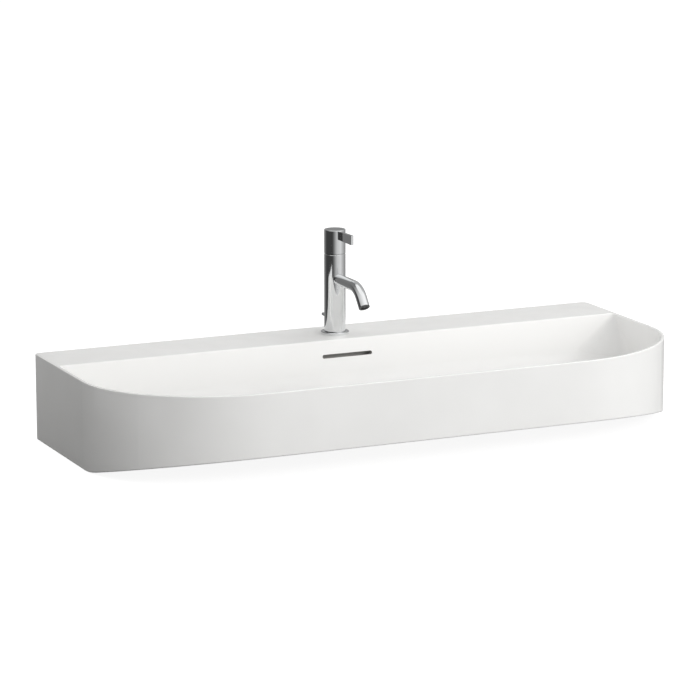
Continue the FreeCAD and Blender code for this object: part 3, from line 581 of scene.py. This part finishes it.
def make_port_nut_ribs():
    """Grip ribs around the nut of the pivot port."""
    low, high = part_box("pivot_port_nut")
    middle = (low + high) / 2
    radius = (high.x - low.x) / 2
    ribs = bmesh.new()
    for step in range(rib_count):
        turn = 2 * math.pi * step / rib_count
        outward = Vector((math.cos(turn), 0, math.sin(turn)))
        across = Vector((-math.sin(turn), 0, math.cos(turn)))
        arcs = []
        for end in (low.y + rib_inset, high.y - rib_inset):
            foot = Vector((middle.x, end, middle.z)) + outward * (radius - rib_radius / 2)
            arcs.append(rib_end(ribs, foot, across, outward))
        near, far = arcs
        for part in range(rib_steps):
            ribs.faces.new((near[part], near[part + 1], far[part + 1], far[part]))
        ribs.faces.new((near[0], far[0], far[-1], near[-1]))
        ribs.faces.new(near)
        ribs.faces.new(far)
    finished("pivot_port_nut_ribs", ribs, "pivot_port_nut", "root")


def towards(azimuth, elevation):
    """A direction from degrees around, counted from straight in front, and degrees up."""
    around = math.radians(azimuth)
    up = math.radians(elevation)
    return Vector((math.sin(around) * math.cos(up), -math.cos(around) * math.cos(up), math.sin(up)))


def seen_directly(tree):
    """One where the ray comes from the camera, a mirror or through glass, else nought."""
    path = tree.nodes.new("ShaderNodeLightPath")
    mirror = calculate(tree, "MAXIMUM", path.outputs["Is Glossy Ray"], path.outputs["Is Transmission Ray"])
    return calculate(tree, "MAXIMUM", path.outputs["Is Camera Ray"], mirror)


def make_world():
    """Soft light, stronger from the sides, with a plain white background."""
    world = bpy.data.worlds.new("studio")
    world.use_nodes = True
    tree = world.node_tree
    sky = tree.nodes["Background"]
    set_inputs(sky, Color=white)
    direction = split(tree, tree.nodes.new("ShaderNodeTexCoord").outputs["Generated"])
    height = calculate(tree, "MULTIPLY", direction["Z"], direction["Z"])
    light = remap(tree, height, 0.0, 1.0, world_low, world_high)
    tree.links.new(blend_values(tree, seen_directly(tree), light, 1.0), sky.inputs["Strength"])
    bpy.context.scene.world = world


def stage_piece(name, points, faces, material):
    """A piece of the studio, which isn't part of the object."""
    mesh = bpy.data.meshes.new(name)
    mesh.from_pydata(points, [], faces)
    mesh.materials.append(material)
    piece = bpy.data.objects.new(name, mesh)
    bpy.context.scene.collection.objects.link(piece)
    return piece


def show_to_polish_alone(piece):
    """Leave a piece of the studio to mirror rays only."""
    piece.visible_camera = False
    piece.visible_diffuse = False
    piece.visible_shadow = False
    piece.visible_transmission = False
    piece.visible_volume_scatter = False


def make_floor():
    """Pale floor that runs into the white background and keeps the shadow."""
    material, tree, shader = new_material("pale_floor")
    set_inputs(shader, Base_Color=floor_grey, Roughness=1.0, Specular_IOR_Level=0.0, Emission_Color=white)
    glow = calculate(tree, "MULTIPLY", seen_directly(tree), floor_glow)
    tree.links.new(glow, shader.inputs["Emission Strength"])
    half = floor_size / 2
    corners = [(x * half, y * half, -floor_drop) for x, y in ((-1, -1), (1, -1), (1, 1), (-1, 1))]
    stage_piece("floor", corners, [(0, 1, 2, 3)], material)


def tone_round(tree, share, tones):
    """A grey for each direction round the tap, from pairs of degrees and tone."""
    ramp = tree.nodes.new("ShaderNodeValToRGB")
    tree.links.new(share, ramp.inputs["Fac"])
    stops = ramp.color_ramp.elements
    while len(stops) < len(tones):
        stops.new(0.5)
    for stop, (degrees, tone) in zip(stops, tones):
        stop.position = (degrees + 180) / 360
        stop.color = (tone, tone, tone, 1.0)
    return ramp.outputs["Color"]


def tap_middle():
    """The middle of the tap's column."""
    low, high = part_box("tap_body")
    return (low + high) / 2


def reflection_tones(middle):
    """Glow of the reflection wall: dark on the left, grey behind, bright on the right."""
    material, tree, shader = new_material("reflection_wall")
    tree.nodes.remove(shader)
    point = split(tree, place_in_object(tree))
    aside = calculate(tree, "SUBTRACT", point["X"], middle.x)
    ahead = calculate(tree, "SUBTRACT", middle.y, point["Y"])
    turn = calculate(tree, "ARCTAN2", aside, ahead)
    share = remap(tree, turn, -math.pi, math.pi, 0.0, 1.0)
    near_floor = tone_round(tree, share, wall_low_tones)
    overhead = tone_round(tree, share, wall_high_tones)
    height = remap(tree, point["Z"], *wall_blend_heights, 0.0, 1.0)
    glow = tree.nodes.new("ShaderNodeEmission")
    tree.links.new(blend_colours(tree, height, near_floor, overhead), glow.inputs["Color"])
    tree.links.new(glow.outputs["Emission"], tree.nodes["Material Output"].inputs["Surface"])
    return material


def make_reflection_wall():
    """Round wall and floor that only polished surfaces see."""
    middle = tap_middle()
    floor_level = -floor_drop / 2
    points = [(middle.x, middle.y, floor_level)]
    faces = []
    for step in range(wall_steps):
        around = middle + towards(360 * step / wall_steps, 0) * wall_radius
        points += [(around.x, around.y, floor_level), (around.x, around.y, wall_height)]
        foot = 2 * step + 1
        next_foot = 2 * ((step + 1) % wall_steps) + 1
        faces += [(foot, next_foot, next_foot + 1, foot + 1), (0, next_foot, foot)]
    show_to_polish_alone(stage_piece("reflection_wall", points, faces, reflection_tones(middle)))


def make_reflection_card(name, turn, foot, tops, tone):
    """A bowed card just inside the reflection wall, from one turn to another, with a level or sloping top."""
    middle = tap_middle()
    points = []
    for step in range(card_steps + 1):
        share = step / card_steps
        degrees = turn[0] + (turn[1] - turn[0]) * share
        around = middle + towards(degrees, 0) * (wall_radius - card_inset)
        top = tops[0] + (tops[1] - tops[0]) * share
        points += [(around.x, around.y, foot), (around.x, around.y, top)]
    faces = [(2 * step, 2 * step + 2, 2 * step + 3, 2 * step + 1) for step in range(card_steps)]
    glow = plain_material(name, Base_Color=black, Specular_IOR_Level=0.0,
                          Emission_Color=white, Emission_Strength=tone)
    show_to_polish_alone(stage_piece(name, points, faces, glow))


def make_dark_card():
    """A black card that shades the basin's left end, out of sight of the camera and of polished surfaces."""
    x = basin_low.x - dark_card_gap
    front, rear = -dark_card_width / 2, dark_card_width / 2
    corners = [(x, front, 0), (x, rear, 0), (x, rear, dark_card_height), (x, front, dark_card_height)]
    paint = plain_material("dark_card", Base_Color=dark_card_colour, Roughness=1.0)
    card = stage_piece("dark_card", corners, [(0, 1, 2, 3)], paint)
    card.visible_camera = False
    card.visible_glossy = False


def make_softbox(name, azimuth, elevation, distance, width, height, power):
    """A soft light aimed at the basin from a direction counted from straight in front."""
    lamp = bpy.data.lights.new(name, "AREA")
    lamp.shape = "RECTANGLE"
    lamp.size = width
    lamp.size_y = height
    lamp.energy = power
    light = bpy.data.objects.new(name, lamp)
    light.location = light_aim + towards(azimuth, elevation) * distance
    light.rotation_mode = "QUATERNION"
    light.rotation_quaternion = (light_aim - light.location).to_track_quat("-Z", "Y")
    light.visible_glossy = False
    bpy.context.scene.collection.objects.link(light)


def make_lights():
    """A wide front light, high lights on the right and behind, and a small key that draws soft shadows."""
    make_softbox("front_light", azimuth=22, elevation=20, distance=3.0,
                 width=2.7, height=2.0, power=32.0)
    make_softbox("high_light", azimuth=95, elevation=60, distance=3.0,
                 width=1.9, height=1.6, power=26.0)
    make_softbox("back_light", azimuth=-140, elevation=47, distance=2.5,
                 width=2.2, height=1.6, power=13.5)
    make_softbox("key_light", azimuth=35, elevation=21, distance=3.1,
                 width=0.42, height=0.42, power=13.0)


def make_camera():
    """Camera at the photograph's place."""
    camera = bpy.data.cameras.new("camera")
    camera.sensor_width = camera_sensor
    camera.lens = camera_lens
    camera.clip_end = floor_size
    back = towards(camera_azimuth, camera_elevation)
    holder = bpy.data.objects.new("camera", camera)
    holder.location = camera_target + back * camera_distance
    holder.rotation_mode = "QUATERNION"
    holder.rotation_quaternion = (-back).to_track_quat("-Z", "Y")
    bpy.context.scene.collection.objects.link(holder)
    bpy.context.scene.camera = holder


dress_nodes()
make_stud()
make_strap_screw()
make_port_nut_ribs()
make_world()
make_floor()
make_reflection_wall()
make_reflection_card("left_reflection_card", turn=(-96, -54), foot=0.01, tops=(0.075, 0.1), tone=0.8)
make_reflection_card("rear_reflection_card", turn=(108, 194), foot=0.18, tops=(0.42, 0.42), tone=0.33)
make_dark_card()
make_lights()
make_camera()
bpy.context.scene.view_settings.view_transform = "Standard"
